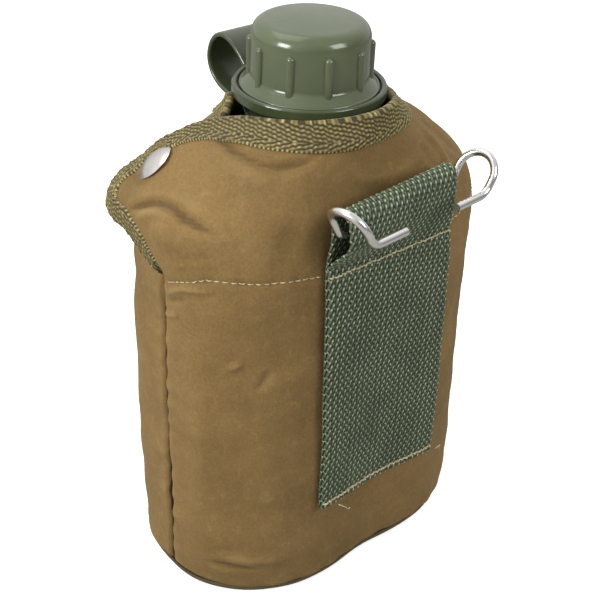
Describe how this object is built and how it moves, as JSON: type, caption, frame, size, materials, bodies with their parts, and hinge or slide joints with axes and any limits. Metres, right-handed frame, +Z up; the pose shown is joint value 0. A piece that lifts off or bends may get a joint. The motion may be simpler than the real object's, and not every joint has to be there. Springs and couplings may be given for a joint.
{
  "type": "canteen",
  "caption": "Belt canteen: plastic bottle with a ribbed screw cap on a keeper strap, in a snap-fastened lined cloth cover with a webbing and wire belt hanger.",
  "frame": {"origin": "on the neck and cap axis, at the underside of the cover", "axes": "+Z up along the neck axis; X across the width; -Y the hip side that carries the hanger and hook; +Y the outer side"},
  "size_m": [0.139, 0.1142, 0.2096],
  "materials": {
    "cover_cloth": "tan-brown cotton cloth, fine plain weave, matt",
    "binding_tape": "olive-tan herringbone binding tape",
    "lining_felt": "brushed felt lining",
    "hanger_webbing": "coarse green webbing with light flecks",
    "bottle_plastic": "moulded olive plastic",
    "cap_plastic": "moulded olive-green plastic, semi-gloss",
    "keeper_plastic": "soft moulded olive-green plastic, semi-gloss",
    "gasket_rubber": "soft seal",
    "snap_metal": "nickel-plated snap parts",
    "bright_wire": "polished nickel-plated steel wire"
  },
  "bodies": {
    "root": {"bottle_body": "bottle_plastic", "keeper_collar": "keeper_plastic", "cover_back_panel": "cover_cloth", "cover_front_panel": "cover_cloth", "cover_bottom_panel": "cover_cloth", "lining_back": "lining_felt", "lining_front": "lining_felt", "binding_hip_collar": "binding_tape", "binding_outer_edge": "binding_tape", "binding_slit_left": "binding_tape", "binding_slit_right": "binding_tape", "webbing_hanger": "hanger_webbing", "snap_stud_left": "snap_metal", "snap_stud_right": "snap_metal", "snap_post_left": "snap_metal", "snap_post_right": "snap_metal"},
    "keeper": {"keeper_ring": "keeper_plastic", "keeper_loop": "keeper_plastic"},
    "cap": {"cap_shell": "cap_plastic", "cap_gasket": "gasket_rubber"},
    "flap_left": {"flap_left": "cover_cloth", "binding_flap_left": "binding_tape", "snap_cap_left": "snap_metal", "snap_socket_left": "snap_metal"},
    "flap_right": {"flap_right": "cover_cloth", "binding_flap_right": "binding_tape", "snap_cap_right": "snap_metal", "snap_socket_right": "snap_metal"},
    "hook": {"wire_hook": "bright_wire"}
  },
  "joints": [
    {"name": "keeper_lift", "type": "slide", "parent": "root", "child": "keeper", "axis": [0, 0, 1], "range_m": [0, 0.009], "deforming": ["keeper_loop"]},
    {"name": "cap_spin", "type": "hinge", "parent": "keeper", "child": "cap", "pos_m": [0, 0, 0.19], "axis": [0, 0, 1], "range_deg": [0, 720]},
    {"name": "flap_left_open", "type": "hinge", "parent": "root", "child": "flap_left", "pos_m": [-0.0552, -0.01, 0.1687], "axis": [0.8, 0, 0.6], "range_deg": [0, 100]},
    {"name": "flap_right_open", "type": "hinge", "parent": "root", "child": "flap_right", "pos_m": [0.05, -0.01, 0.1688], "axis": [0.7512, 0, -0.6601], "range_deg": [0, 100]},
    {"name": "hook_swing", "type": "hinge", "parent": "root", "child": "hook", "pos_m": [0.0003, -0.04685, 0.1566], "axis": [0.9932, 0.1096, -0.0401], "range_deg": [-40, 75]}
  ],
  "couplings": [
    {"joint": "keeper_lift", "follows": "cap_spin", "m_per_rad": 0.0007162}
  ]
}
